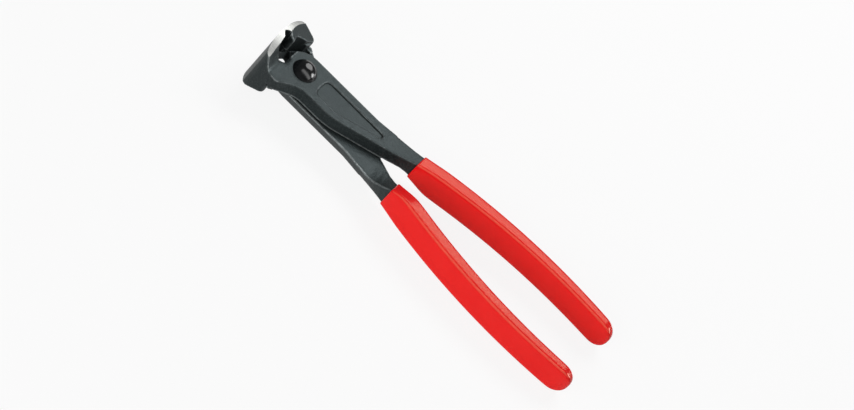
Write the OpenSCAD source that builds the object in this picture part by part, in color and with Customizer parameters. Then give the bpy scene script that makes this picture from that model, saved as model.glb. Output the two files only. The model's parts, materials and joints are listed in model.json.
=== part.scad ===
// End cutting nippers: two identical forged levers crossed on a domed rivet, with dipped grips.
// The shape is drawn about the pivot: +X right, +Y towards the jaws, +Z along the rivet.
// It is then moved so that the origin lies under the middle of the closed tool.

/* [Head] */
// Overall length of the closed tool
overall_l = 200; // [180:1:240]
// Cutting edge above the pivot centre
edge_y = 19.25; // [18:0.05:21]
// Half depth of the blades at the cutting edge
blade_half_depth = 14.85; // [13:0.05:17]
// Radius of the bowed blade ends, seen from the front
blade_bow_r = 38; // [34:1:60]
// Half width of the flat across the cutting edges
edge_flat = 4; // [2:0.1:6]
// Radius of the rounded top beside that flat, seen from the front
crown_r = 23.5; // [20:0.5:60]
// Half width of the head at its top corners
head_half_w = 15.6; // [15:0.1:16.5]
// Half width of the head at its foot
foot_half_w = 17.4; // [17.4:0.1:19]
// Radius of the top corners of the head
head_corner_r = 5; // [3:0.5:5]
// Foot of the jaw above the pivot centre
foot_y = 6; // [5.6:0.1:6.4]
// Rise of the foot towards the joint
foot_rise = 1.6; // [1:0.1:2.8]
// Rounding of the jaw's foot
foot_r = 1.8; // [0.5:0.1:2.5]
// Height of the ground band along the blade ends
band_h = 3.15; // [2.8:0.05:4]
// How sharply the jaw flares out to the band, where 1 is a straight slope
flare_bend = 1.6; // [1.2:0.1:2.2]
// Flat land beside each cutting edge
edge_land = 1; // [0.4:0.1:1.4]
// Gap left between the closed cutting edges
edge_gap = 0.1; // [0.05:0.05:0.3]
// Half width of the bevels at their foot
bevel_half_w = 2.5; // [1.5:0.1:3.5]
// Height of the bevels
bevel_h = 3.15; // [2:0.05:3.8]
// Half width of the hollow between the jaws
hollow_half_w = 7.7; // [7:0.1:9]
// Roof of the hollow below the cutting edge
roof_h = 3.95; // [3.9:0.05:4.5]
// Radius of the upper corners of the hollow
hollow_top_r = 3; // [1:0.5:3]
// Width of the slanted lower corners of the hollow
hollow_cut_w = 3.3; // [2:0.1:4]
// Height of the slanted lower corners of the hollow
hollow_cut_h = 2.8; // [2:0.1:3.2]
// Rounding of the slanted lower corners of the hollow
hollow_cut_r = 1; // [0.5:0.1:1.2]
// Cutting edge down to the flat on the jaw's far side
far_drop = 3.65; // [3:0.05:4.5]
// Lean of the flat on the jaw's far side
far_lean = 30.4; // [24:0.2:34]
// Turn of that flat towards the flank
far_turn = 10.4; // [4:0.2:14]

/* [Joint] */
// Thickness of each lever at the joint
lever_t = 5.4; // [4.5:0.1:7]
// Gap between the two levers
plate_gap = 0.1; // [0.05:0.05:0.3]
// Radius of the joint disc
joint_r = 10.5; // [9.8:0.1:11]
// Flat of the joint disc, the floor of the hollow
hollow_floor_y = 9; // [8.5:0.1:9.4]
// Outward slope of the forged sides over the lever's thickness
draft = 1.8; // [0:0.1:2]
// Gap between the joint disc and the other lever's jaw
recess_gap = 1.6; // [1:0.1:2.2]
// Diameter of the rivet's shank
rivet_d = 7; // [5:0.5:9]
// Diameter of the rivet's domed heads
rivet_head_d = 12.2; // [10:0.1:14]
// Height of the rivet's domed heads
rivet_head_h = 4.2; // [3:0.1:5]
// Diameter of the flat on each head
rivet_flat_d = 3.4; // [1:0.1:5]
// Radial clearance of the shank in the turning lever
rivet_run = 0.04; // [0.02:0.01:0.1]
// Radial clearance of the shank in the lever that holds it
rivet_seat = 0.01; // [0.01:0.01:0.03]

/* [Levers] */
// Inner side of the lever beside the pivot
flank_in = 9.1; // [8:0.1:10]
// Slope of the shoulder, sideways for each unit of length
shoulder_slope = 0.84; // [0.6:0.02:1.1]
// Height at which the shoulder leaves the jaw
shoulder_y = 5.7; // [4.5:0.1:6.5]
// Inner radius of the shoulder
shoulder_r = 12; // [6:1:14]
// Pivot centre down to the bend of the inner side
in_bend = 22.5; // [20:0.5:26]
// Slope of the inner side below its bend
in_slope = 0.374; // [0.3:0.01:0.42]
// Pivot centre down to the bend of the outer side
out_bend = 38; // [30:1:40]
// Slope of the outer side below its bend
out_slope = 0.13; // [0.05:0.01:0.2]
// Radius of both bends
bend_r = 30; // [10:1:40]
// Depth of the shallow panel in the lever's face
panel_depth = 0.5; // [0.2:0.1:1]
// Margin from the inner side to the panel
panel_margin = 4.1; // [3:0.1:5]
// Margin from the outer side to the panel
panel_out_margin = 4.2; // [3:0.1:5]
// Pivot centre down to the panel
panel_top = 9.8; // [8.5:0.1:12]
// Length of the panel
panel_l = 35.5; // [25:0.5:36]
// Corner radius of the panel
panel_r = 3; // [1:0.1:3.2]

/* [Handles] */
// Radius of the handles' bow
handle_bow_r = 315; // [250:5:450]
// Widest point of the bow below the pivot centre
bow_apex_drop = 146; // [130:1:155]
// Handle centre line to the tool's middle at the bow
bow_apex_x = 20.7; // [18:0.1:26]
// Width of the steel handle where its bow starts
tang_w = 6.5; // [5.5:0.1:8]
// Width of the steel handle at its end
tail_w = 4.2; // [3.5:0.1:7]
// Depth of the steel handle where its bow starts
tang_d = 13.9; // [11:0.1:15]
// Depth of the steel handle at its end
tail_d = 13.5; // [10:0.1:15]
// Edge rounding of the steel handle
tang_r = 1; // [0.5:0.1:1.6]
// Edge rounding of the neck
neck_r = 0.4; // [0.3:0.1:1]
// Pivot centre down to the start of the handle's crank
crank_drop = 52; // [51.5:0.5:56]
// Length over which the crank reaches full depth
crank_l = 20; // [16:0.5:24]
// How much later the crank starts along the inner side
crank_skew = 6; // [0:0.5:10]

/* [Grips] */
// Pivot centre down to the grip's lip
grip_drop = 64.7; // [62:0.1:70]
// Wall of the dipped grip
grip_wall = 0.8; // [0.5:0.1:1.5]
// Thickness of the grip past the end of the steel
grip_end = 6; // [5:0.5:10]
// Length of the grip's domed end
dome_l = 7.5; // [5:0.5:8]
// Share of the grip's section left at the tip of its domed end
dome_tip = 0.15; // [0.05:0.05:0.5]
// Rounding of the grip's lip
lip_r = 0.5; // [0.2:0.05:0.5]
// Clearance between grip and steel
grip_fit = 0.05; // [0.02:0.01:0.1]

/* [Hidden] */
$fn = 64;
fillet_steps = 6;
corner_steps = 4;
crown_steps = 4;
flare_steps = 10;
// The flare's curve runs past the band by this share, so that it crosses the round of the blade ends
flare_run = 1.2;
// How far a cutter runs past what it cuts
over = 2;
// Inset that keeps the handle bar inside the joint plate, and what is left above a face that is cut flat
merge = 0.1;
end_y = edge_y - overall_l;
mid_y = edge_y - overall_l / 2;
half_gap = plate_gap / 2;
band_y = edge_y - band_h;
roof_y = edge_y - roof_h;
flare_y = hollow_floor_y;
recess_r = joint_r + draft + recess_gap;
jaw_foot_top = foot_y + foot_rise;
rivet_r = rivet_d / 2;
rivet_dome_r = (pow(rivet_head_d / 2, 2) + pow(rivet_head_h, 2)) / (2 * rivet_head_h);
rivet_flat_drop = rivet_dome_r - sqrt(pow(rivet_dome_r, 2) - pow(rivet_flat_d / 2, 2));
plate_end_y = -panel_top - panel_l - 2 * over;
crank_y = -crank_drop;
crank_end_y = -crank_drop - crank_l - crank_skew;
grip_y = -grip_drop;
tang_end_y = end_y + grip_end;
// Heights at which the handle's section is drawn, down its neck and along its bow
neck_rings = 10;
bow_rings = 10;
dome_rings = 6;
lip_rings = 2;
neck_ys = [for (i = [0:neck_rings - 1]) mix(plate_end_y + over, crank_end_y, i / neck_rings)];
bow_ys = [for (i = [0:bow_rings - 1]) mix(crank_end_y, tang_end_y, i / bow_rings)];

steel = [0.22, 0.24, 0.25];
rivet_black = [0.05, 0.05, 0.06];
grip_red = [0.87, 0.13, 0.13];

// Curves and outlines

function unit(v) = v / norm(v);
function mix(a, b, t) = a + (b - a) * t;
function ramp(t) = let (s = min(max(t, 0), 1)) s * s * (3 - 2 * s);
function heading(v) = atan2(v.y, v.x);

// Points round a corner b that lies between a and c
function fillet(a, b, c, r) =
    let (
        u = unit(a - b),
        v = unit(c - b),
        half = acos(u * v) / 2,
        centre = b + unit(u + v) * r / sin(half),
        start = heading(b + u * r / tan(half) - centre),
        finish = heading(b + v * r / tan(half) - centre),
        turn = (finish - start + 540) % 360 - 180
    )
    [for (i = [0:fillet_steps])
        let (angle = start + turn * i / fillet_steps)
        centre + r * [cos(angle), sin(angle)]];

// An outline of [x, y, radius] corners, with each corner that has a radius rounded
function rounded(path) =
    let (n = len(path), at = [for (p = path) [p.x, p.y]])
    [for (i = [0:n - 1]) each
        path[i].z > 0 ? fillet(at[(i + n - 1) % n], at[i], at[(i + 1) % n], path[i].z) : [at[i]]];

// Outward direction at b on an outline that runs anticlockwise
function outward(a, b, c) =
    let (m = unit([b.y - a.y, a.x - b.x]), n = unit([c.y - b.y, b.x - c.x]))
    (m + n) / (1 + m * n);

// Inner and outer sides of the lever, at the height of its face
function handle_x(y) = bow_apex_x - handle_bow_r + sqrt(pow(handle_bow_r, 2) - pow(y + bow_apex_drop, 2));
function into_handle(y) = ramp((crank_y - y) / (crank_y - crank_end_y));
function along_tang(y) = min(max((crank_end_y - y) / (crank_end_y - tang_end_y), 0), 1);
function tang_half_w(y) = mix(tang_w, tail_w, along_tang(y)) / 2;
function tang_half_d(y) = mix(tang_d, tail_d, along_tang(y)) / 2;
function neck_in(y) = -flank_in + in_slope * (-in_bend - y);
function neck_out(y) = joint_r + out_slope * (-out_bend - y);
function side_in(y) = mix(neck_in(y), handle_x(y) - tang_half_w(y), into_handle(y));
function side_out(y) = mix(neck_out(y), handle_x(y) + tang_half_w(y), into_handle(y));

// Underside of the lever along its outer and inner edges, and its upper face
function crank(y, late) = mix(half_gap, -tang_half_d(y), ramp((crank_y - late - y) / crank_l));
function face_z(y) = mix(lever_t, tang_half_d(y), into_handle(y));

// Section of the handle at height y, grown by a wall, as points round four corners
function section(y, grow) =
    let (
        slope = draft * (1 - into_handle(y)),
        r = max(mix(neck_r, tang_r, into_handle(y)) + grow, neck_r / 2),
        left = side_in(y) - grow + r,
        right = side_out(y) + grow - r,
        top = face_z(y) + grow - r,
        corners = [
            [right, top, 0],
            [left, top, 90],
            [left - slope, crank(y, crank_skew) - grow + r, 180],
            [right + slope, crank(y, 0) - grow + r, 270]
        ]
    )
    [for (c = corners, i = [0:corner_steps])
        let (angle = c.z + 90 * i / corner_steps)
        [c.x + r * cos(angle), y, c.y + r * sin(angle)]];

// A section of the handle drawn in to a share of its size about the handle's centre line
function drawn_in(ring, share) =
    [for (p = ring) let (middle = handle_x(p.y)) [mix(middle, p.x, share), p.y, share * p.z]];

// Solid through a row of rings, each a list of points in the same order
module skin(rings) {
    n = len(rings[0]);
    last = len(rings) - 1;
    sides = [for (k = [0:last - 1], i = [0:n - 1])
        let (a = k * n + i, b = k * n + (i + 1) % n)
        [a, a + n, b + n, b]];
    caps = [[for (i = [0:n - 1]) i], [for (i = [n - 1:-1:0]) last * n + i]];
    polyhedron(points = [for (ring = rings) each ring], faces = concat(sides, caps));
}

// Sub-parts

// Front view of the left jaw
module jaw_outline() {
    crown_w = head_half_w - edge_flat;
    crown = [for (i = [0:crown_steps])
        let (x = crown_w * i / crown_steps, corner_r = i < crown_steps ? 0 : head_corner_r)
        [-edge_flat - x, edge_y - crown_r + sqrt(pow(crown_r, 2) - x * x), corner_r]];
    polygon(rounded(concat(
        [[-edge_gap / 2, edge_y, 0]],
        crown,
        [
            [-foot_half_w, foot_y, foot_r],
            [-recess_r + over, jaw_foot_top, 0],
            [-edge_gap / 2, jaw_foot_top, 0]
        ]
    )));
}

// Side view of the left jaw, whose own side flares out of the lever's face
module jaw_profile() {
    deep = blade_half_depth + 3 * over;
    flare = [for (i = [0:flare_steps])
        let (t = flare_run * i / flare_steps)
        [mix(flare_y, band_y, t), mix(lever_t - over / 4, blade_half_depth, pow(t, flare_bend))]];
    polygon(concat(
        [[0, lever_t - over / 4]],
        flare,
        [
            [edge_y + over, deep],
            [edge_y + over, -deep],
            [0, -deep]
        ]
    ));
}

// What the flat on the jaw's far side takes off
module far_flat() {
    reach = 2 * (foot_half_w + blade_half_depth);
    translate([0, edge_y - far_drop, -blade_half_depth])
        rotate([-far_lean, far_turn, 0])
            translate([-reach, -reach, -reach]) cube([2 * reach, 2 * reach, reach]);
}

// Round of the blade ends on one side of the tool
module blade_bow(side) {
    translate([0, 0, side * (blade_half_depth - blade_bow_r)])
        rotate([-90, 0, 0]) cylinder(h = edge_y + over, r = blade_bow_r);
}

module jaw() {
    difference() {
        intersection() {
            translate([0, 0, -blade_half_depth - over])
                linear_extrude(2 * (blade_half_depth + over)) jaw_outline();
            translate([-foot_half_w - over, 0, 0])
                rotate([90, 0, 90]) linear_extrude(foot_half_w + over) jaw_profile();
            blade_bow(1);
            blade_bow(-1);
        }
        translate([0, 0, -blade_half_depth - over])
            cylinder(h = blade_half_depth + 2 * over, r = recess_r);
        far_flat();
    }
}

// Flat plate from the jaw past the joint disc to the neck, wider at its inner face
module joint_plate() {
    neck_foot = plate_end_y;
    top_y = hollow_floor_y + 3 * merge;
    disc_top = asin(top_y / joint_r);
    outline = concat(
        rounded([
            [-hollow_half_w + over / 2, band_y - over, 0],
            [-head_half_w, band_y - over, 0],
            [-foot_half_w + merge, shoulder_y, foot_r],
            [-flank_in, shoulder_y - (foot_half_w - merge - flank_in) / shoulder_slope, shoulder_r],
            [-flank_in, -in_bend, bend_r],
            [neck_in(neck_foot), neck_foot, 0],
            [neck_out(neck_foot), neck_foot, 0],
            [joint_r, -out_bend, bend_r],
            [joint_r, -over, 0]
        ]),
        [for (i = [0:fillet_steps * 2])
            let (angle = disc_top * i / (fillet_steps * 2))
            joint_r * [cos(angle), sin(angle)]],
        [[0, top_y]]
    );
    n = len(outline);
    slope = [for (p = outline)
        p.x > 0 ? draft : draft * ramp((hollow_floor_y - p.y) / (hollow_floor_y - foot_y))];
    inner_face = [for (i = [0:n - 1])
        let (p = outline[i] + slope[i] * outward(outline[(i + n - 1) % n], outline[i], outline[(i + 1) % n]))
        [max(p.x, merge - foot_half_w), p.y, half_gap]];
    skin([inner_face, [for (p = outline) [p.x, p.y, lever_t]]]);
}

// Space between the jaws, seen from the front: the bevels of the edge, then the wall given, then the joint disc
module opening(wall) {
    far = foot_half_w + over;
    polygon(rounded(concat(
        [
            [-edge_gap / 2, edge_y + over, 0],
            [-edge_gap / 2, edge_y - edge_land, 0],
            [-bevel_half_w, edge_y - bevel_h, 0]
        ],
        wall,
        [
            [far, hollow_floor_y, 0],
            [far, edge_y + over, 0]
        ]
    )));
}

// The jaw is hollowed out on its own side, and left full behind the bevel on its far side
module hollow() {
    deep = blade_half_depth + over;
    linear_extrude(deep)
        opening([
            [-hollow_half_w, roof_y, hollow_top_r],
            [-hollow_half_w, hollow_floor_y + hollow_cut_h, hollow_cut_r],
            [-hollow_half_w + hollow_cut_w, hollow_floor_y, hollow_cut_r]
        ]);
    translate([0, 0, -deep])
        linear_extrude(deep + over)
            opening([[-bevel_half_w, hollow_floor_y, 0]]);
}

// Shallow panel sunk in the lever's outer face
module panel() {
    panel_end = -panel_top - panel_l;
    left = -flank_in + panel_margin;
    right = joint_r - panel_out_margin;
    translate([0, 0, lever_t - panel_depth])
        linear_extrude(panel_depth + over)
            polygon(rounded([
                [right, -panel_top, panel_r],
                [left, -panel_top, panel_r],
                [left, -in_bend, bend_r / 2],
                [neck_in(panel_end) + panel_margin, panel_end, panel_r / 2],
                [right, panel_end, panel_r / 2]
            ]));
}

// Neck and steel handle inside the grip
module handle_bar() {
    skin([for (y = concat(neck_ys, bow_ys, [tang_end_y])) section(y, merge * (into_handle(y) - 1))]);
}

module lever(bore_clearance) {
    difference() {
        union() {
            jaw();
            joint_plate();
            handle_bar();
        }
        hollow();
        panel();
        translate([0, 0, -over]) cylinder(h = lever_t + 2 * over, r = rivet_r + bore_clearance);
    }
}

// Dipped sleeve with a rounded lip and a domed end
module grip() {
    lip = [for (i = [0:lip_rings]) let (a = 90 * i / lip_rings) [
        grip_y - lip_r * (1 - cos(a)),
        grip_wall - lip_r * (1 - sin(a))
    ]];
    bore_ys = [for (y = concat(neck_ys, bow_ys)) if (y < grip_y - 2 * lip_r) y];
    body_ys = [for (y = bore_ys) if (y > end_y + dome_l + over) y];
    dome = [for (i = [0:dome_rings]) let (a = 90 * i / dome_rings) [
        end_y + dome_l * (1 - sin(a)),
        mix(dome_tip, 1, cos(a))
    ]];
    difference() {
        skin(concat(
            [for (p = lip) section(p.x, p.y)],
            [for (y = body_ys) section(y, grip_wall)],
            [for (p = dome) drawn_in(section(p.x, grip_wall), p.y)]
        ));
        skin([for (y = concat([grip_y + over], bore_ys, [tang_end_y - grip_fit])) section(y, grip_fit)]);
    }
}

// Shank with a flattened dome at each end
module rivet() {
    head_z = lever_t + half_gap;
    cylinder(h = 2 * head_z, r = rivet_r, center = true);
    for (side = [0, 1])
        mirror([0, 0, side])
            intersection() {
                translate([0, 0, head_z + rivet_head_h - rivet_dome_r]) sphere(r = rivet_dome_r);
                translate([0, 0, head_z])
                    cylinder(h = rivet_head_h - rivet_flat_drop, r = rivet_head_d / 2);
            }
}

// Placing

module placed() {
    translate([0, -mid_y, blade_half_depth]) children();
}

module turned() {
    rotate([0, 180, 0]) children();
}

module front_lever() {
    color(steel) placed() lever(rivet_seat);
}

module back_lever() {
    color(steel) placed() turned() lever(rivet_run);
}

module pivot_rivet() {
    color(rivet_black) placed() rivet();
}

module right_grip() {
    color(grip_red) placed() grip();
}

module left_grip() {
    color(grip_red) placed() turned() grip();
}

front_lever();
back_lever();
pivot_rivet();
right_grip();
left_grip();
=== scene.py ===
import json
import math

import bpy
from mathutils import Matrix, Vector

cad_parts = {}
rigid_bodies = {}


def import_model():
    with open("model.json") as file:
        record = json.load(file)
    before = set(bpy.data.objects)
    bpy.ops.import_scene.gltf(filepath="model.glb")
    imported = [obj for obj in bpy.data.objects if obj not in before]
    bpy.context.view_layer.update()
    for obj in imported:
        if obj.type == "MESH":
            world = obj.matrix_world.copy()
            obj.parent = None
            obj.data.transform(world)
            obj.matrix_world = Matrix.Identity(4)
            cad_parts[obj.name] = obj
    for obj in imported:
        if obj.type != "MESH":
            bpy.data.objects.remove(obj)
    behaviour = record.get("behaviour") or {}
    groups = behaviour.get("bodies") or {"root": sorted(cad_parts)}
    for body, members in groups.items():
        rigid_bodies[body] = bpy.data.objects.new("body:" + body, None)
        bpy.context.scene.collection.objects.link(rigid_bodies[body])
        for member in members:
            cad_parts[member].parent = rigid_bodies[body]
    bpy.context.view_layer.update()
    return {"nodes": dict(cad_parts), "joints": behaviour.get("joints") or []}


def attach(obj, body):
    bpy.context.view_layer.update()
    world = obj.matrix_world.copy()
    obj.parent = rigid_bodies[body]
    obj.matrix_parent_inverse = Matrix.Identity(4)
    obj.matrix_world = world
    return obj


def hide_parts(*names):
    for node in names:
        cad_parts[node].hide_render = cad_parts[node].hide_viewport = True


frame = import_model()

mm = 0.001
weldGap = 0.002 * mm
pivot = Vector(frame["joints"][0]["pos_m"])
print("frame loaded, pivot at", [round(v / mm, 2) for v in pivot])


# small helpers

def inMm(rows):
    return [tuple(value * mm for value in row) for row in rows]


def clamped(value):
    return min(max(value, 0.0), 1.0)


def facing(right, up, back, place):
    return Matrix((
        (right.x, up.x, back.x, place.x),
        (right.y, up.y, back.y, place.y),
        (right.z, up.z, back.z, place.z),
        (0, 0, 0, 1),
    ))


# handling of objects

def deselectAll():
    if bpy.context.object and bpy.context.object.mode != "OBJECT":
        bpy.ops.object.mode_set(mode="OBJECT")
    bpy.ops.object.select_all(action="DESELECT")


def pick(piece):
    deselectAll()
    piece.select_set(True)
    bpy.context.view_layer.objects.active = piece


def editAll(piece):
    pick(piece)
    bpy.ops.object.mode_set(mode="EDIT")
    bpy.ops.mesh.select_all(action="SELECT")


def leaveEdit():
    bpy.ops.object.mode_set(mode="OBJECT")


def applyModifier(piece, kind, **settings):
    pick(piece)
    modifier = piece.modifiers.new(kind.title(), kind)
    for name, value in settings.items():
        setattr(modifier, name, value)
    bpy.ops.object.modifier_apply(modifier=modifier.name)


def duplicateOf(source, name):
    pick(source)
    bpy.ops.object.duplicate()
    piece = bpy.context.object
    bpy.ops.object.parent_clear(type="CLEAR")
    piece.name = name
    piece.data.name = name
    for key in list(piece.keys()):
        del piece[key]
    return piece


def copyOfNode(node, name):
    piece = duplicateOf(frame["nodes"][node], name)
    piece.data.materials.clear()
    editAll(piece)
    bpy.ops.mesh.remove_doubles(threshold=weldGap)
    leaveEdit()
    return piece


def remove(piece):
    pick(piece)
    bpy.ops.object.delete()


def smoothShade(piece, degrees):
    pick(piece)
    bpy.ops.object.shade_smooth_by_angle(angle=math.radians(degrees))


# shader building

def newGroup(name, inputs, outputs):
    group = bpy.data.node_groups.new(name, "ShaderNodeTree")
    for label in inputs:
        group.interface.new_socket(label, in_out="INPUT", socket_type="NodeSocketFloat")
    for label in outputs:
        group.interface.new_socket(label, in_out="OUTPUT", socket_type="NodeSocketFloat")
    start = group.nodes.new("NodeGroupInput")
    end = group.nodes.new("NodeGroupOutput")
    return group, start, end


def addNode(tree, kind, **settings):
    node = tree.nodes.new("ShaderNode" + kind)
    for name, value in settings.items():
        setattr(node, name, value)
    return node


def feed(tree, value, socket):
    # a socket is linked, a number or colour is set
    if isinstance(value, bpy.types.NodeSocket):
        tree.links.new(value, socket)
    else:
        socket.default_value = value


def noise(tree, place, scale, detail, roughness=0.5):
    node = addNode(tree, "TexNoise")
    labels = ("Vector", "Scale", "Detail", "Roughness")
    for label, value in zip(labels, (place, scale, detail, roughness)):
        feed(tree, value, node.inputs[label])
    return node.outputs["Fac"]


def mapRange(tree, value, source, target=(0.0, 1.0)):
    node = addNode(tree, "MapRange")
    labels = ("Value", "From Min", "From Max", "To Min", "To Max")
    for label, number in zip(labels, (value, *source, *target)):
        feed(tree, number, node.inputs[label])
    return node.outputs["Result"]


def combine(tree, operation, first, second):
    node = addNode(tree, "Math", operation=operation)
    feed(tree, first, node.inputs[0])
    feed(tree, second, node.inputs[1])
    return node.outputs[0]


def mixColour(tree, factor, low, high):
    node = addNode(tree, "Mix", data_type="RGBA")
    tree.links.new(factor, node.inputs["Factor"])
    for label, colour in (("A", low), ("B", high)):
        socket = [s for s in node.inputs if s.name == label and s.type == "RGBA"][0]
        feed(tree, (*colour, 1.0) if isinstance(colour, tuple) else colour, socket)
    return [s for s in node.outputs if s.type == "RGBA"][0]


def placeGroup(tree, group, settings):
    node = addNode(tree, "Group", node_tree=group)
    for label, value in settings.items():
        node.inputs[label].default_value = value
    return node.outputs


def newMaterial(name):
    material = bpy.data.materials.new(name)
    material.use_nodes = True
    tree = material.node_tree
    shader = tree.nodes["Principled BSDF"]
    return material, tree, shader


def bump(tree, shader, height, distance):
    node = addNode(tree, "Bump")
    node.inputs["Distance"].default_value = distance
    tree.links.new(height, node.inputs["Height"])
    tree.links.new(node.outputs["Normal"], shader.inputs["Normal"])


# surface grain: fine grit, broad patches and a bump height, all from object coordinates

surfaceGrain = {
    "fineDetail": 3.0,
    "fineRough": 0.6,
    "broadDetail": 2.0,
    "broadShare": 0.5,  # how much of the broad patches goes into the height
}


def makeGrainGroup():
    look = surfaceGrain
    group, start, end = newGroup("surfaceGrain", ("grit", "patches"), ("fine", "broad", "height"))
    place = addNode(group, "TexCoord").outputs["Object"]
    fine = noise(group, place, start.outputs["grit"], look["fineDetail"], look["fineRough"])
    broad = noise(group, place, start.outputs["patches"], look["broadDetail"])
    height = combine(group, "ADD", fine, combine(group, "MULTIPLY", broad, look["broadShare"]))
    for label, value in (("fine", fine), ("broad", broad), ("height", height)):
        group.links.new(value, end.inputs[label])
    return group


grainGroup = makeGrainGroup()


# edge wear that also paints highlights: a mask of the convex edges, broken up by noise, and a mask of the
# creases for painted shade

edgeWearHighlightAndShade = {
    "samples": 12,
    "patchDetail": 2.0,
    "patchFrom": (0.3, 0.6),
    "patchTo": (0.4, 1.0),
}


def makeEdgeWearHighlightAndShadeGroup():
    look = edgeWearHighlightAndShade
    group, start, end = newGroup("edgeWearHighlightAndShade", ("reach", "from", "to", "breakup"), ("edges", "paintedCreaseShade"))
    limits = (start.outputs["from"], start.outputs["to"])
    masks = {}
    # inside occlusion finds the convex edges (wear and painted highlight), outside occlusion finds the
    # creases (painted shade)
    for label, inside in (("edges", True), ("paintedCreaseShade", False)):
        shade = addNode(group, "AmbientOcclusion", inside=inside, only_local=True, samples=look["samples"])
        group.links.new(start.outputs["reach"], shade.inputs["Distance"])
        masks[label] = mapRange(group, shade.outputs["AO"], limits)
    place = addNode(group, "TexCoord").outputs["Object"]
    patches = noise(group, place, start.outputs["breakup"], look["patchDetail"])
    broken = mapRange(group, patches, look["patchFrom"], look["patchTo"])
    group.links.new(combine(group, "MULTIPLY", masks["edges"], broken), end.inputs["edges"])
    group.links.new(masks["paintedCreaseShade"], end.inputs["paintedCreaseShade"])
    return group


edgeWearHighlightAndShadeGroup = makeEdgeWearHighlightAndShadeGroup()


# materials

blackSteel = {
    "dark": (0.002, 0.003, 0.003),
    "pale": (0.024, 0.028, 0.028),
    # pale metal on the convex edges: edge wear, and also a painted edge highlight
    "wornEdgeHighlight": (0.25, 0.27, 0.27),
    "speckFrom": (0.46, 0.68),  # fine grain that turns pale
    "roughFrom": (0.35, 0.65),
    "rough": (0.34, 0.56),
    "wornEdgeHighlightRough": 0.36,
    "wornEdgeHighlightMetal": 0.6,
    # roughness of the painted shade in the creases, which takes their sheen away
    "paintedCreaseShadeRough": 1.0,
    "gloss": 0.35,
    "tint": (0.80, 1.0, 1.03, 1.0),
    "grain": {"grit": 1700.0, "patches": 140.0},
    "grainDepth": 0.12 * mm,
    # reach and limits of the edge and crease masks: wear with painted highlight, and painted shade
    "wearHighlightAndShade": {"reach": 1.1 * mm, "from": 0.88, "to": 0.55, "breakup": 700.0},
}


def makeBlackSteel():
    material, tree, shader = newMaterial("blackForgedSteel")
    look = blackSteel
    grain = placeGroup(tree, grainGroup, look["grain"])
    wearHighlightAndShade = placeGroup(tree, edgeWearHighlightAndShadeGroup, look["wearHighlightAndShade"])
    speck = mapRange(tree, grain["fine"], look["speckFrom"])
    colour = mixColour(tree, speck, look["dark"], look["pale"])
    # painted shade: the creases are darkened to the dark grain colour
    colour = mixColour(tree, wearHighlightAndShade["paintedCreaseShade"], colour, look["dark"])
    # convex edges turn pale worn metal, partly wear and partly painted highlight
    colour = mixColour(tree, wearHighlightAndShade["edges"], colour, look["wornEdgeHighlight"])
    tree.links.new(colour, shader.inputs["Base Color"])
    rough = mapRange(tree, grain["fine"], look["roughFrom"], look["rough"])
    # painted shade makes the creases fully rough; the worn, highlighted edges take their own roughness
    rough = mapRange(tree, wearHighlightAndShade["paintedCreaseShade"], (0.0, 1.0), (rough, look["paintedCreaseShadeRough"]))
    rough = mapRange(tree, wearHighlightAndShade["edges"], (0.0, 1.0), (rough, look["wornEdgeHighlightRough"]))
    tree.links.new(rough, shader.inputs["Roughness"])
    # the worn edges, which also carry the painted highlight, turn partly metallic
    metal = combine(tree, "MULTIPLY", wearHighlightAndShade["edges"], look["wornEdgeHighlightMetal"])
    tree.links.new(metal, shader.inputs["Metallic"])
    shader.inputs["Specular IOR Level"].default_value = look["gloss"]
    shader.inputs["Specular Tint"].default_value = look["tint"]
    bump(tree, shader, grain["height"], look["grainDepth"])
    return material


groundSteel = {
    "dark": (0.34, 0.345, 0.335),
    "pale": (0.48, 0.485, 0.47),
    "rough": (0.4, 0.5),
    "lineFrom": (0.3, 0.7),
    "lineScale": (9000.0, 300.0, 300.0),
    "lineDetail": 2.0,
    "lineRough": 0.55,
    "lineDepth": 0.004 * mm,
}


def makeGroundSteel():
    material, tree, shader = newMaterial("groundSteel")
    look = groundSteel
    stretch = addNode(tree, "Mapping")
    stretch.inputs["Scale"].default_value = look["lineScale"]
    tree.links.new(addNode(tree, "TexCoord").outputs["Object"], stretch.inputs["Vector"])
    lines = noise(tree, stretch.outputs["Vector"], 1.0, look["lineDetail"], look["lineRough"])
    colour = mixColour(tree, mapRange(tree, lines, look["lineFrom"]), look["dark"], look["pale"])
    tree.links.new(colour, shader.inputs["Base Color"])
    rough = mapRange(tree, lines, look["lineFrom"], look["rough"])
    tree.links.new(rough, shader.inputs["Roughness"])
    shader.inputs["Metallic"].default_value = 1.0
    bump(tree, shader, lines, look["lineDepth"])
    return material


rivetBlack = {
    "dark": (0.004, 0.0045, 0.005),
    "pale": (0.009, 0.010, 0.011),
    "roughFrom": (0.3, 0.7),
    "rough": (0.17, 0.22),
    "gloss": 0.32,
    "grain": {"grit": 1800.0, "patches": 300.0},
    "grainDepth": 0.001 * mm,
}


def makeRivetBlack():
    material, tree, shader = newMaterial("rivetBlack")
    look = rivetBlack
    grain = placeGroup(tree, grainGroup, look["grain"])
    colour = mixColour(tree, grain["broad"], look["dark"], look["pale"])
    tree.links.new(colour, shader.inputs["Base Color"])
    rough = mapRange(tree, grain["broad"], look["roughFrom"], look["rough"])
    tree.links.new(rough, shader.inputs["Roughness"])
    shader.inputs["Specular IOR Level"].default_value = look["gloss"]
    bump(tree, shader, grain["height"], look["grainDepth"])
    return material


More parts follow.
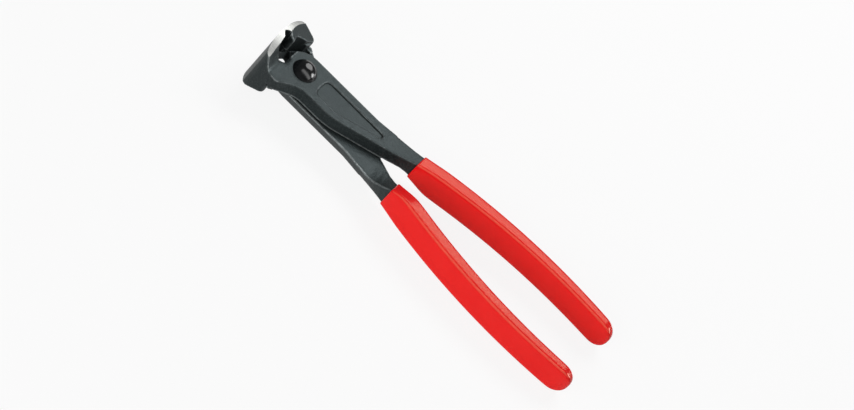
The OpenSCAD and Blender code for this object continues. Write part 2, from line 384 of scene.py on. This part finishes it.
redDip = {
    "dark": (0.83, 0.008, 0.011),
    "pale": (0.88, 0.014, 0.015),
    # painted highlight colour for the ridges
    "paintedRidgeHighlight": (0.90, 0.10, 0.065),
    "paintedRidgeHighlightFrom": (0.72, 1.0),
    "paintedRidgeHighlightTo": (0.0, 0.8),
    "roughFrom": (0.3, 0.7),
    "rough": (0.19, 0.26),
    "gloss": 0.17,
    "tint": (1.0, 0.95, 0.60, 1.0),
    "grain": {"grit": 1500.0, "patches": 90.0},
    "waveDepth": 0.02 * mm,
}


def paintedRidgeHighlightMask(tree):
    # painted highlight on the ridges along the grip, where the surface turns from one side to the next
    axes = addNode(tree, "SeparateXYZ")
    tree.links.new(addNode(tree, "TexCoord").outputs["Normal"], axes.inputs[0])
    turn = combine(tree, "MULTIPLY", axes.outputs["X"], axes.outputs["Z"])
    turn = combine(tree, "ABSOLUTE", turn, 0.0)
    turn = combine(tree, "MULTIPLY", turn, 2.0)  # 1 where the surface faces half way
    return mapRange(tree, turn, redDip["paintedRidgeHighlightFrom"], redDip["paintedRidgeHighlightTo"])


def makeRedDip():
    material, tree, shader = newMaterial("redDippedPlastic")
    look = redDip
    grain = placeGroup(tree, grainGroup, look["grain"])
    colour = mixColour(tree, grain["broad"], look["dark"], look["pale"])
    colour = mixColour(tree, paintedRidgeHighlightMask(tree), colour, look["paintedRidgeHighlight"])  # painted highlight on the ridges
    tree.links.new(colour, shader.inputs["Base Color"])
    rough = mapRange(tree, grain["fine"], look["roughFrom"], look["rough"])
    tree.links.new(rough, shader.inputs["Roughness"])
    shader.inputs["Specular IOR Level"].default_value = look["gloss"]
    shader.inputs["Specular Tint"].default_value = look["tint"]
    bump(tree, shader, grain["broad"], look["waveDepth"])
    return material


blackSteelLook = makeBlackSteel()
groundSteelLook = makeGroundSteel()
rivetLook = makeRivetBlack()
gripLook = makeRedDip()
print("materials made")


# levers: a forged blank with soft edges, then the panel, blade ends and bevels cut into it

leverShape = {  # all places are about the pivot
    "edgeY": 19.25 * mm,  # cutting edge
    "endZ": 14.85 * mm,  # blade ends from the middle plane
    "bowR": 38 * mm,
    "bowAngle": 32,  # to each side
    "bowSteps": 48,
    "bowOut": 20 * mm,
    "bowY": (12 * mm, 26 * mm),
    "flat": 4 * mm,  # half width of the flat top
    "crownR": 23.5 * mm,
    "crownReach": 14 * mm,
    "crownSteps": 24,
    "topOver": 2 * mm,  # past the cutting edge
    "topAbove": 6 * mm,
    "bevel": inMm((
        (-0.05, 22), (-0.05, 18.25), (-2.5, 16.1),
        (-2.2, 15.6), (5, 15.6), (5, 22),
    )),
    "grindZ": (-22 * mm, 22 * mm),
    "groundAbove": 15.5 * mm,  # bright faces lie above this
    "groundSlack": 0.015 * mm,
    "stockAbove": 14 * mm,
    "stockBeyond": 10 * mm,
    "stockFront": (0.55 * mm, 1.2 * mm),  # up and out, along the flare
    "stockBack": (0.85 * mm, -0.5 * mm),  # up and out, along the far flat
    "stockFade": (12.0 * mm, 16.5 * mm),  # no stock at the flank
    "stockEdge": 0.6 * mm,  # across the cutting edge
    "stockEdgeAbove": 18 * mm,
    "stockEdgeFrom": -0.2 * mm,
    "voxel": 0.25 * mm,
    "soften": 10,
    "flareY": (2.5 * mm, 15.0 * mm),  # stretch over which the flare leaves the face
    "flareZ": 4.6 * mm,
    "flareSoften": 320,
    "flareWall": (0.65, 0.3),  # steepness of the walls that keep their edges, and its fade
    "shankY": (-67.0 * mm, -42.0 * mm),  # stretch where the neck runs into the handle
    "shankSoften": 80,
    "shankFace": (0.75, 0.2),  # levelness of the faces that are evened out, and its fade
    "farPoint": (0.0, 15.6 * mm, -14.85 * mm),  # flat on the jaw's far side
    "farNormal": (0.1557, 0.506, 0.8483),
    "tooth": inMm((
        (-2.7, 15.7), (-1.5, 15.0), (-1.1, 13.7), (-1.4, 12.2),
        (-2.8, 12.6), (-4.0, 12.95), (-5.3, 13.4), (-5.3, 15.7),
    )),
    "toothZ": (-16 * mm, -5 * mm),
    "foot": inMm((
        (-5.5, 13.3), (-6.5, 11.75), (-7.45, 10.75), (-10.9, 8.95),
        (-18, 5.8), (-18, 4), (-5.5, 4),
    )),
    "footZ": (-16 * mm, -6.2 * mm),
    "heel": inMm((
        (-17.3, 7), (-17.3, 5.75), (-16, 4.2), (-14.5, 4.2), (-14.5, 7),
    )),
    "heelZ": (-1.6 * mm, 3 * mm),
    "panel": inMm((  # corners of the sunk panel, x, y and radius
        (6.25, -9.9, 3.2), (-4.8, -9.9, 3.2), (-4.8, -22.5, 8),
        (3.6, -45.2, 1.4), (6.25, -45.2, 1.4),
    )),
    "panelZ": (4.6 * mm, 7 * mm),  # its floor, and clear of the face
    "cornerSteps": 8,
    "keepShare": 0.45,
    "shadeAngle": 34,
}


def addStock(blank):
    # spare metal at the blade ends, for the grinding to take off
    size = leverShape
    near, far = size["stockFade"]
    for vertex in blank.data.vertices:
        at = vertex.co - pivot
        share = clamped((far + at.x) / (far - near))
        if at.y > size["stockAbove"] and abs(at.z) > size["stockBeyond"]:
            up, out = size["stockFront"] if at.z > 0 else size["stockBack"]
            vertex.co += share * Vector((0, up, out))
        if at.y > size["stockEdgeAbove"] and at.x > size["stockEdgeFrom"]:
            vertex.co.x += size["stockEdge"]


def softenStretch(blank, stretch, rounds, weigh):
    # smooths a stretch along the lever, as much as each vertex weighs
    group = blank.vertex_groups.new(name="stretch")
    low, high = stretch
    for vertex in blank.data.vertices:
        at = vertex.co - pivot
        if low < at.y < high:
            t = (at.y - low) / (high - low)
            group.add([vertex.index], weigh(at, vertex.normal, math.sin(math.pi * t)), "REPLACE")
    applyModifier(blank, "SMOOTH", factor=0.5, iterations=rounds, vertex_group=group.name)
    blank.vertex_groups.clear()


def weighFlare(at, normal, swell):
    # the jaw's flare runs out of the lever's face in one sweep
    size = leverShape
    if at.z <= size["flareZ"] or at.x >= 0:
        return 0.0
    steep, fade = size["flareWall"]
    return clamped((steep - abs(normal.x)) / fade) * swell


def weighShank(at, normal, swell):
    # broad faces above the grip are evened out, and their edges stay
    level, fade = leverShape["shankFace"]
    return clamped((abs(normal.z) - level) / fade) * min(1.0, 2.0 * swell)


def block(name, corners, span, axis):
    # a prism on the corners given, about the pivot, over the span along the axis
    low, high = span
    points = [Vector((a, b, low)) if axis == "Z" else Vector((a, low, b)) for a, b in corners]
    deselectAll()
    bpy.ops.mesh.primitive_plane_add(size=1 * mm, location=pivot + points[0])
    piece = bpy.context.object
    piece.name = name
    bpy.ops.object.transform_apply(location=True, rotation=True, scale=True)
    bpy.ops.object.mode_set(mode="EDIT")
    bpy.ops.mesh.select_all(action="SELECT")
    bpy.ops.mesh.merge(type="CENTER")
    for here, there in zip(points, points[1:]):
        bpy.ops.mesh.extrude_vertices_move(TRANSFORM_OT_translate={"value": there - here})
    bpy.ops.mesh.select_all(action="SELECT")
    bpy.ops.mesh.edge_face_add()
    run = (0, 0, high - low) if axis == "Z" else (0, high - low, 0)
    bpy.ops.mesh.extrude_region_move(TRANSFORM_OT_translate={"value": run})
    bpy.ops.mesh.select_all(action="SELECT")
    bpy.ops.mesh.normals_make_consistent(inside=False)
    leaveEdit()
    return piece


def joinBlock(blank, piece, operation):
    applyModifier(blank, "BOOLEAN", operation=operation, object=piece, solver="MANIFOLD")
    remove(piece)


def shapeFarEnd(blank):
    # the far end's flat runs down beside the hollow to a point, its foot is cut off straight,
    # and the foot's heel runs on into the shoulder
    size = leverShape
    tooth = block("tooth", size["tooth"], size["toothZ"], "Z")
    editAll(tooth)
    bpy.ops.mesh.bisect(plane_co=pivot + Vector(size["farPoint"]), plane_no=size["farNormal"],
                        use_fill=True, clear_inner=True)
    leaveEdit()
    joinBlock(blank, tooth, "UNION")
    joinBlock(blank, block("foot", size["foot"], size["footZ"], "Z"), "DIFFERENCE")
    joinBlock(blank, block("heel", size["heel"], size["heelZ"], "Z"), "UNION")


def panelOutline():
    # the panel's corners, each run round as an arc
    corners = leverShape["panel"]
    steps = leverShape["cornerSteps"]
    points = []
    for i, (x, y, radius) in enumerate(corners):
        here = Vector((x, y))
        back = (Vector(corners[i - 1][:2]) - here).normalized()
        ahead = (Vector(corners[(i + 1) % len(corners)][:2]) - here).normalized()
        half = back.angle(ahead) / 2
        middle = here + (back + ahead).normalized() * radius / math.sin(half)
        first = here + back * radius / math.tan(half) - middle
        last = here + ahead * radius / math.tan(half) - middle
        start = math.atan2(first.y, first.x)
        sweep = (math.atan2(last.y, last.x) - start + math.pi) % (2 * math.pi) - math.pi
        for k in range(steps + 1):
            turn = start + sweep * k / steps
            points.append((middle.x + radius * math.cos(turn), middle.y + radius * math.sin(turn)))
    return points


def bowOutline(side):
    # what the bowed blade end takes off, seen from above: x and z
    size = leverShape
    radius, out, steps = size["bowR"], size["bowOut"], size["bowSteps"]
    half = math.radians(size["bowAngle"])
    curve = []
    for i in range(steps + 1):
        turn = -half + 2 * half * i / steps
        curve.append((radius * math.sin(turn), size["endZ"] - radius * (1 - math.cos(turn))))
    outline = curve + [(curve[-1][0], out), (curve[0][0], out)]
    return [(x, side * z) for x, z in outline]


def topOutline():
    # what the grinding of the top takes off, seen from the front: x and y
    size = leverShape
    reach, over, steps = size["crownReach"], size["topOver"], size["crownSteps"]
    above = size["edgeY"] + size["topAbove"]
    points = [(over, size["edgeY"])]
    for i in range(steps + 1):
        run = reach * i / steps
        drop = size["crownR"] - math.sqrt(size["crownR"] ** 2 - run ** 2)
        points.append((-size["flat"] - run, size["edgeY"] - drop))
    return points + [(-size["flat"] - reach, above), (over, above)]


def isGround(at):
    size = leverShape
    if at.y < size["groundAbove"]:
        return False
    bow = math.hypot(at.x, abs(at.z) - (size["endZ"] - size["bowR"]))
    onEnd = abs(bow - size["bowR"]) < size["groundSlack"]
    onTop = abs(at.y - size["edgeY"]) < size["groundSlack"]
    return onEnd or onTop


def makeLever(node, name):
    size = leverShape
    blank = copyOfNode(node, name)
    shapeFarEnd(blank)
    addStock(blank)
    applyModifier(blank, "REMESH", mode="VOXEL", voxel_size=size["voxel"])
    applyModifier(blank, "SMOOTH", factor=0.5, iterations=size["soften"])
    softenStretch(blank, size["flareY"], size["flareSoften"], weighFlare)
    softenStretch(blank, size["shankY"], size["shankSoften"], weighShank)
    blank.data.materials.clear()
    blank.data.materials.append(blackSteelLook)
    blank.data.materials.append(groundSteelLook)
    cuts = {
        "panelDie": (panelOutline(), size["panelZ"], "Z"),
        "frontGrinder": (bowOutline(1), size["bowY"], "Y"),
        "backGrinder": (bowOutline(-1), size["bowY"], "Y"),
        "topGrinder": (topOutline(), size["grindZ"], "Z"),
        "bevelGrinder": (size["bevel"], size["grindZ"], "Z"),
    }
    for cutter, (outline, span, axis) in cuts.items():
        joinBlock(blank, block(cutter, outline, span, axis), "DIFFERENCE")
    print(name, "ground,", len(blank.data.polygons), "faces")
    applyModifier(blank, "DECIMATE", ratio=size["keepShare"])
    for polygon in blank.data.polygons:
        polygon.material_index = 1 if isGround(polygon.center - pivot) else 0
    smoothShade(blank, size["shadeAngle"])
    return blank


frontLever = makeLever("front_lever", "frontLever")
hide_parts("front_lever")
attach(frontLever, "front_half")

backLever = duplicateOf(frontLever, "backLever")  # the same forging, turned half round
editAll(backLever)
bpy.ops.transform.rotate(value=math.pi, orient_axis="Y", center_override=pivot)
leaveEdit()
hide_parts("back_lever")
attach(backLever, "back_half")
print("levers made", len(frontLever.data.polygons))


# grips: dipped sleeves, rounded over the steel

gripShape = {"rounds": 2, "joinAngle": 40, "shadeAngle": 50}


def makeGrip(node, name, body):
    size = gripShape
    grip = copyOfNode(node, name)
    editAll(grip)
    limit = math.radians(size["joinAngle"])
    bpy.ops.mesh.tris_convert_to_quads(face_threshold=limit, shape_threshold=limit)
    leaveEdit()
    applyModifier(grip, "SUBSURF", levels=size["rounds"], render_levels=size["rounds"])
    grip.data.materials.append(gripLook)
    smoothShade(grip, size["shadeAngle"])
    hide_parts(node)
    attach(grip, body)
    return grip


rightGrip = makeGrip("right_grip", "rightGrip", "front_half")
leftGrip = makeGrip("left_grip", "leftGrip", "back_half")
print("grips made", len(rightGrip.data.polygons), len(leftGrip.data.polygons))


# rivet: a shank with a flattened dome at each end, run up ring by ring

rivetShape = {
    "shankR": 3.5 * mm,
    "faceZ": 5.45 * mm,  # lever's face above the middle plane
    "headR": 6.1 * mm,
    "headH": 4.2 * mm,
    "undercut": 0.3 * mm,  # the head's underside ends inside its rim
    "flatR": 1.7 * mm,
    "flatRings": ((0.15 * mm, 0.025 * mm), (0.4 * mm, 0.03 * mm)),  # in from the flat's rim, and up
    "sides": 96,
    "rings": 14,
    "weld": 0.001 * mm,
    "shadeAngle": 40,
}


def rivetProfile():
    size = rivetShape
    domeR = (size["headR"] ** 2 + size["headH"] ** 2) / (2 * size["headH"])
    middle = size["faceZ"] + size["headH"] - domeR
    low = math.asin((size["faceZ"] - middle) / domeR)
    high = math.acos(size["flatR"] / domeR)
    profile = [(size["shankR"], 0.0), (size["shankR"], size["faceZ"])]
    profile.append((size["headR"] - size["undercut"], size["faceZ"]))
    for i in range(size["rings"] + 1):
        turn = low + (high - low) * i / size["rings"]
        profile.append((domeR * math.cos(turn), middle + domeR * math.sin(turn)))
    top = profile[-1][1]
    for inward, up in size["flatRings"]:
        profile.append((size["flatR"] - inward, top + up))
    return profile


def makeRivet():
    size = rivetShape
    profile = rivetProfile()
    deselectAll()
    bpy.ops.mesh.primitive_circle_add(vertices=size["sides"], radius=profile[0][0], location=pivot)
    rivet = bpy.context.object
    rivet.name = "pivotRivet"
    rivet.data.name = "pivotRivet"
    bpy.ops.object.transform_apply(location=True, rotation=True, scale=True)
    bpy.ops.object.mode_set(mode="EDIT")
    bpy.ops.mesh.select_all(action="SELECT")
    for (r0, z0), (r1, z1) in zip(profile, profile[1:]):
        bpy.ops.mesh.extrude_region_move(TRANSFORM_OT_translate={"value": (0, 0, z1 - z0)})
        grow = r1 / r0
        bpy.ops.transform.resize(value=(grow, grow, 1), center_override=pivot + Vector((0, 0, z1)))
    bpy.ops.mesh.edge_face_add()
    bpy.ops.mesh.select_all(action="SELECT")
    bpy.ops.mesh.duplicate()
    bpy.ops.transform.rotate(value=math.pi, orient_axis="X", center_override=pivot)
    bpy.ops.mesh.select_all(action="SELECT")
    bpy.ops.mesh.remove_doubles(threshold=size["weld"])
    bpy.ops.mesh.normals_make_consistent(inside=False)
    leaveEdit()
    rivet.data.materials.append(rivetLook)
    smoothShade(rivet, size["shadeAngle"])
    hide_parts("pivot_rivet")
    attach(rivet, "front_half")


makeRivet()
print("rivet made")


# camera

view = {
    "turn": math.radians(45.0062),  # about the tool's length
    "tilt": math.radians(0.2465),
    "roll": math.radians(45.3268),
    "distance": 1662.07 * mm,
    "target": Vector((0, 0.15 * mm, 14.85 * mm)),
    "aside": (-0.5088 * mm, -0.0013 * mm),
    "lens": 157.63,
    "sensor": 36.0,
    "clip": (0.05, 20.0),
}


def makeCamera():
    along = Vector((0, 1, 0))
    across = Vector((math.cos(view["turn"]), 0, math.sin(view["turn"])))
    outward = Vector((-math.sin(view["turn"]), 0, math.cos(view["turn"])))
    back = outward * math.cos(view["tilt"]) - along * math.sin(view["tilt"])
    length = along * math.cos(view["tilt"]) + outward * math.sin(view["tilt"])
    right = across * math.cos(view["roll"]) - length * math.sin(view["roll"])
    up = across * math.sin(view["roll"]) + length * math.cos(view["roll"])
    place = view["target"] + right * view["aside"][0] + up * view["aside"][1] + back * view["distance"]
    data = bpy.data.cameras.new("camera")
    data.sensor_width = view["sensor"]
    data.lens = view["lens"]
    data.clip_start, data.clip_end = view["clip"]
    camera = bpy.data.objects.new("camera", data)
    bpy.context.scene.collection.objects.link(camera)
    camera.matrix_world = facing(right, up, back, place)
    bpy.context.scene.camera = camera


makeCamera()
print("camera placed")


# floor, lamps and background

stage = {
    "headY": 98 * mm,  # where the blades rest on the floor
    "tailY": -95 * mm,  # where the grips rest on it
    "tailZ": 7.2 * mm,
    "floorDrop": -0.05 * mm,
    "floorSize": 6.0,
    "floorColour": (0.8, 0.8, 0.8, 1.0),
    "floorRough": 0.9,
    "floorGlow": 0.88,
    "white": (1, 1, 1, 1),
    "worldLevel": 0.15,
}

lamps = {  # direction from the tool, distance, size and brightness of the panel
    "sideBox": {"towards": (0.65, 0.0, 0.76), "away": 0.85, "size": (0.36, 0.58), "glow": 6.8},
    "overStrip": {"towards": (-0.34, -0.42, 0.84), "away": 1.05, "size": (0.46, 2.4), "glow": 4.2,
                  "lights": False},
    "lowBox": {"towards": (0.42, -0.78, 0.44), "away": 0.9, "size": (0.34, 0.34), "glow": 20.0,
               "lights": False},
    "rimBox": {"towards": (0.80, -0.60, 0.10), "away": 0.6, "size": (0.06, 0.12), "glow": 14.0,
               "lights": False},
    "leftFill": {"towards": (-0.88, 0.2, 0.40), "away": 1.1, "size": (0.9, 1.1), "glow": 3.0,
                 "mirrored": False},
}


def makeFloor():
    deselectAll()
    bpy.ops.mesh.primitive_plane_add(size=stage["floorSize"])
    floor = bpy.context.object
    floor.name = "floor"
    lean = math.atan2(-stage["tailZ"], stage["headY"] - stage["tailY"])
    floor.rotation_euler = (lean, 0, 0)
    floor.location = (0, stage["headY"], stage["floorDrop"])
    material, tree, shader = newMaterial("paleFloor")
    shader.inputs["Base Color"].default_value = stage["floorColour"]
    shader.inputs["Roughness"].default_value = stage["floorRough"]
    shader.inputs["Specular IOR Level"].default_value = 0.0
    glow = addNode(tree, "Emission")
    glow.inputs["Color"].default_value = stage["white"]
    path = addNode(tree, "LightPath")
    seen = combine(tree, "MAXIMUM", path.outputs["Is Camera Ray"], path.outputs["Is Glossy Ray"])
    seen = combine(tree, "MAXIMUM", seen, path.outputs["Is Transmission Ray"])
    share = combine(tree, "MULTIPLY", seen, stage["floorGlow"])
    blend = addNode(tree, "MixShader")
    tree.links.new(share, blend.inputs["Fac"])
    tree.links.new(shader.outputs["BSDF"], blend.inputs[1])
    tree.links.new(glow.outputs["Emission"], blend.inputs[2])
    tree.links.new(blend.outputs["Shader"], tree.nodes["Material Output"].inputs["Surface"])
    floor.data.materials.append(material)


def makeLamp(name):
    look = lamps[name]
    data = bpy.data.lights.new(name, "AREA")
    data.shape = "RECTANGLE"
    wide, long = look["size"]
    data.size, data.size_y = wide, long
    data.energy = look["glow"] * math.pi * wide * long
    lamp = bpy.data.objects.new(name, data)
    lamp.visible_glossy = look.get("mirrored", True)
    lamp.visible_diffuse = look.get("lights", True)
    bpy.context.scene.collection.objects.link(lamp)
    outward = Vector(look["towards"]).normalized()
    across = Vector((0, 1, 0)).cross(outward).normalized()
    along = outward.cross(across)
    lamp.matrix_world = facing(across, along, outward, outward * look["away"])


def makeWorld():
    world = bpy.data.worlds.new("studio")
    bpy.context.scene.world = world
    world.use_nodes = True
    tree = world.node_tree
    back = tree.nodes["Background"]
    back.inputs["Color"].default_value = stage["white"]
    path = addNode(tree, "LightPath")
    level = mapRange(tree, path.outputs["Is Camera Ray"], (0.0, 1.0), (stage["worldLevel"], 1.0))
    tree.links.new(level, back.inputs["Strength"])


makeFloor()
for lampName in lamps:
    makeLamp(lampName)
makeWorld()
bpy.context.scene.view_settings.view_transform = "Standard"
print("stage set")
